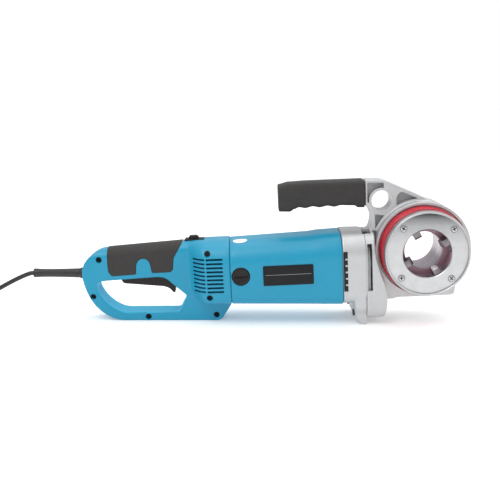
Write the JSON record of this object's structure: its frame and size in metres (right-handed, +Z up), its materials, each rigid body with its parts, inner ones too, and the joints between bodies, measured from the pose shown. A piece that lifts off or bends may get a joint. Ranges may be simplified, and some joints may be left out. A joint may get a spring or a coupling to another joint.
{
  "type": "pipe threading machine",
  "caption": "Hand-held electric pipe threader: D-handled motor and gear case with a worm-driven ring that holds a drop-in die head, a carrying grip and a coiled mains cord.",
  "frame": {"origin": "on the floor, under the middle of the machine's bounding box without its cord", "axes": "+Z up, +X from the rear handle to the die head, -Y the side the pipe enters the die head from"},
  "size_m": [0.7725, 0.1503, 0.1846],
  "materials": {
    "blue_plastic": "satin moulded",
    "soft_grip": "matt overmoulded",
    "black_plastic": "satin moulded",
    "cast_aluminium": "die-cast, matt",
    "bright_steel": "machined",
    "dark_steel": "oxidised",
    "red_paint": "gloss paint",
    "bronze": "machined",
    "copper": "turned copper",
    "carbon": "pressed carbon or phenolic",
    "cord_rubber": "matt sheath"
  },
  "bodies": {
    "housing": {"handle_shell_near": "blue_plastic", "handle_shell_far": "blue_plastic", "motor_housing": "blue_plastic", "grip_pad_near": "soft_grip", "grip_pad_far": "soft_grip", "carry_grip": "soft_grip", "reverser_base": "black_plastic", "name_plate": "black_plastic", "brush_cap_near": "black_plastic", "brush_cap_far": "black_plastic", "outlet_grille_near": "black_plastic", "outlet_grille_far": "black_plastic", "gear_cover": "cast_aluminium", "head_casting": "cast_aluminium", "bearing_plate": "cast_aluminium", "rear_ring_cover": "cast_aluminium", "rear_bearing": "bright_steel", "front_bearing": "bright_steel", "worm_rear_bearing": "bright_steel", "worm_front_bearing": "bright_steel", "worm_nose_bearing": "bright_steel", "field_stator": "dark_steel", "handle_screw_1": "dark_steel", "handle_screw_2": "dark_steel", "handle_screw_3": "dark_steel", "handle_screw_4": "dark_steel", "handle_screw_5": "dark_steel", "handle_screw_6": "dark_steel", "case_screw_1": "dark_steel", "case_screw_2": "dark_steel", "front_bush": "bronze", "rear_bush": "bronze", "carbon_brush_near": "carbon", "carbon_brush_far": "carbon", "switch_module": "carbon", "strain_relief": "cord_rubber", "cord_lead": "cord_rubber", "cord_coil": "cord_rubber", "power_plug": "cord_rubber"},
    "armature": {"armature_shaft": "bright_steel", "armature_core": "dark_steel", "commutator": "copper", "cooling_fan": "black_plastic"},
    "worm": {"worm_shaft": "bright_steel", "reduction_gear": "dark_steel"},
    "drive_ring": {"drive_ring": "dark_steel"},
    "die_head": {"die_head_body": "red_paint", "die_head_rim": "bright_steel", "cover_plate": "bright_steel", "guide_sleeve": "bright_steel", "cover_screw_1": "bright_steel", "cover_screw_2": "bright_steel", "cover_screw_3": "bright_steel", "cover_screw_4": "bright_steel", "thread_die_1": "dark_steel", "thread_die_2": "dark_steel", "thread_die_3": "dark_steel", "thread_die_4": "dark_steel"},
    "trigger": {"trigger_lever": "black_plastic"},
    "direction_knob": {"reverser_knob": "black_plastic"}
  },
  "joints": [
    {"name": "drive_ring_spin", "type": "hinge", "parent": "housing", "child": "drive_ring", "pos_m": [0.18854, 0.0134, 0.09631], "axis": [0, 1, 0], "continuous": true},
    {"name": "worm_spin", "type": "hinge", "parent": "housing", "child": "worm", "pos_m": [0.19084, 0.01342, 0.04736], "axis": [0.9989, 0, 0.0471], "continuous": true},
    {"name": "armature_spin", "type": "hinge", "parent": "housing", "child": "armature", "pos_m": [0.01498, 0.006, 0.0701], "axis": [0.9989, 0, 0.0471], "continuous": true},
    {"name": "die_head_pull", "type": "slide", "parent": "drive_ring", "child": "die_head", "axis": [0, -1, 0], "range_m": [0, 0.075]},
    {"name": "trigger_pull", "type": "hinge", "parent": "housing", "child": "trigger", "pos_m": [-0.1966, 0.006, 0.05612], "axis": [0, -1, 0], "range_deg": [0, 6], "stiffness_Nm_per_rad": 0.6, "springref_deg": -11.46},
    {"name": "direction_slide", "type": "slide", "parent": "housing", "child": "direction_knob", "axis": [0.9989, 0, 0.0471], "range_m": [-0.004, 0.004]}
  ],
  "couplings": [
    {"joint": "worm_spin", "follows": "drive_ring_spin", "ratio": 52},
    {"joint": "armature_spin", "follows": "drive_ring_spin", "ratio": -279.5}
  ]
}
